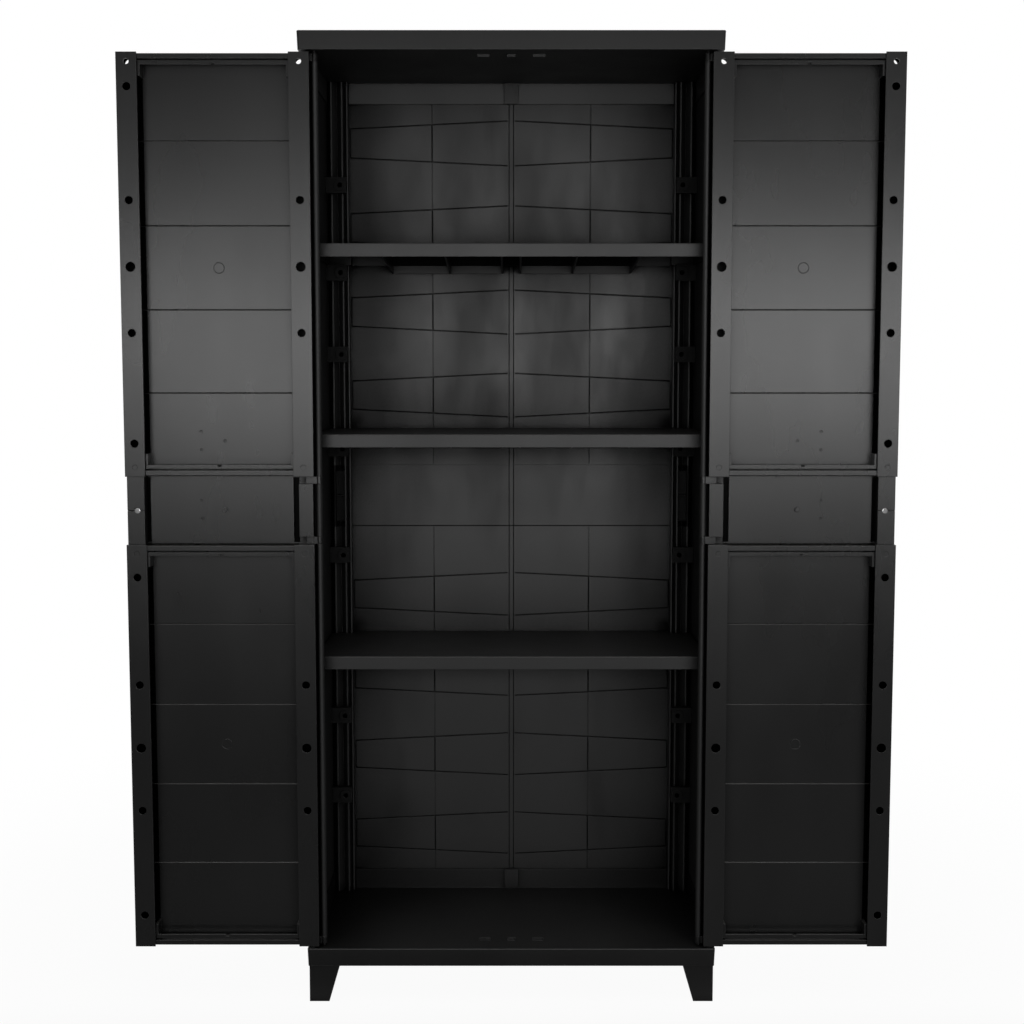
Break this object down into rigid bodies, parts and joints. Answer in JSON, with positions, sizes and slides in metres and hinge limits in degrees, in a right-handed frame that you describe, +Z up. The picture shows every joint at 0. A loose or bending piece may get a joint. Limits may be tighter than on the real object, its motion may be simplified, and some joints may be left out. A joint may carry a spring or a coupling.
{
  "type": "tall plastic storage cabinet",
  "caption": "Tall freestanding black plastic storage cabinet: panelled doors that swing flat open, lift-out shelves on side brackets, patterned back and short tapered feet.",
  "frame": {"origin": "on the floor under the middle of the cabinet's footprint", "axes": "+Z up, +X to the right as seen from the front, the front faces -Y"},
  "size_m": [1.26, 0.3458, 1.596],
  "materials": {
    "cabinet_plastic": "satin, fine moulded grain",
    "door_plastic": "satin, fine moulded grain",
    "shelf_plastic": "satin, fine moulded grain",
    "pin_plastic": "satin, fine moulded grain"
  },
  "bodies": {
    "cabinet": {"top_cover": "cabinet_plastic", "ceiling_panel": "cabinet_plastic", "base_tray": "cabinet_plastic", "back_joint_strip": "cabinet_plastic", "back_seam_clips": "cabinet_plastic", "left_front_foot": "cabinet_plastic", "right_front_foot": "cabinet_plastic", "left_rear_foot": "cabinet_plastic", "right_rear_foot": "cabinet_plastic", "left_side_upper": "cabinet_plastic", "right_side_upper": "cabinet_plastic", "left_side_belt": "cabinet_plastic", "right_side_belt": "cabinet_plastic", "left_side_lower": "cabinet_plastic", "right_side_lower": "cabinet_plastic", "left_back_upper": "cabinet_plastic", "right_back_upper": "cabinet_plastic", "left_back_belt": "cabinet_plastic", "right_back_belt": "cabinet_plastic", "left_back_lower": "cabinet_plastic", "right_back_lower": "cabinet_plastic", "left_shelf_brackets": "cabinet_plastic", "right_shelf_brackets": "cabinet_plastic", "left_hinge_pins": "pin_plastic", "right_hinge_pins": "pin_plastic"},
    "left_door": {"left_door_upper_leaf": "door_plastic", "left_door_upper_free_stile": "door_plastic", "left_door_upper_hinge_stile": "door_plastic", "left_door_lower_leaf": "door_plastic", "left_door_lower_free_stile": "door_plastic", "left_door_lower_hinge_stile": "door_plastic", "left_door_belt": "door_plastic", "left_door_hinge_block": "door_plastic", "left_door_handle": "door_plastic"},
    "right_door": {"right_door_upper_leaf": "door_plastic", "right_door_upper_free_stile": "door_plastic", "right_door_upper_hinge_stile": "door_plastic", "right_door_lower_leaf": "door_plastic", "right_door_lower_free_stile": "door_plastic", "right_door_lower_hinge_stile": "door_plastic", "right_door_belt": "door_plastic", "right_door_hinge_block": "door_plastic", "right_door_handle": "door_plastic"},
    "lower_shelf": {"lower_shelf": "shelf_plastic"},
    "middle_shelf": {"middle_shelf": "shelf_plastic"},
    "upper_shelf": {"upper_shelf": "shelf_plastic"}
  },
  "joints": [
    {"name": "left_door_swing", "type": "hinge", "parent": "cabinet", "child": "left_door", "pos_m": [-0.3155, -0.153, 0.829], "axis": [0, 0, 1], "range_deg": [0, 180]},
    {"name": "right_door_swing", "type": "hinge", "parent": "cabinet", "child": "right_door", "pos_m": [0.3155, -0.153, 0.829], "axis": [0, 0, -1], "range_deg": [0, 180]},
    {"name": "lower_shelf_lift", "type": "slide", "parent": "cabinet", "child": "lower_shelf", "axis": [0, 0, 1], "range_m": [0, 0.06]},
    {"name": "middle_shelf_lift", "type": "slide", "parent": "cabinet", "child": "middle_shelf", "axis": [0, 0, 1], "range_m": [0, 0.06]},
    {"name": "upper_shelf_lift", "type": "slide", "parent": "cabinet", "child": "upper_shelf", "axis": [0, 0, 1], "range_m": [0, 0.06]}
  ]
}
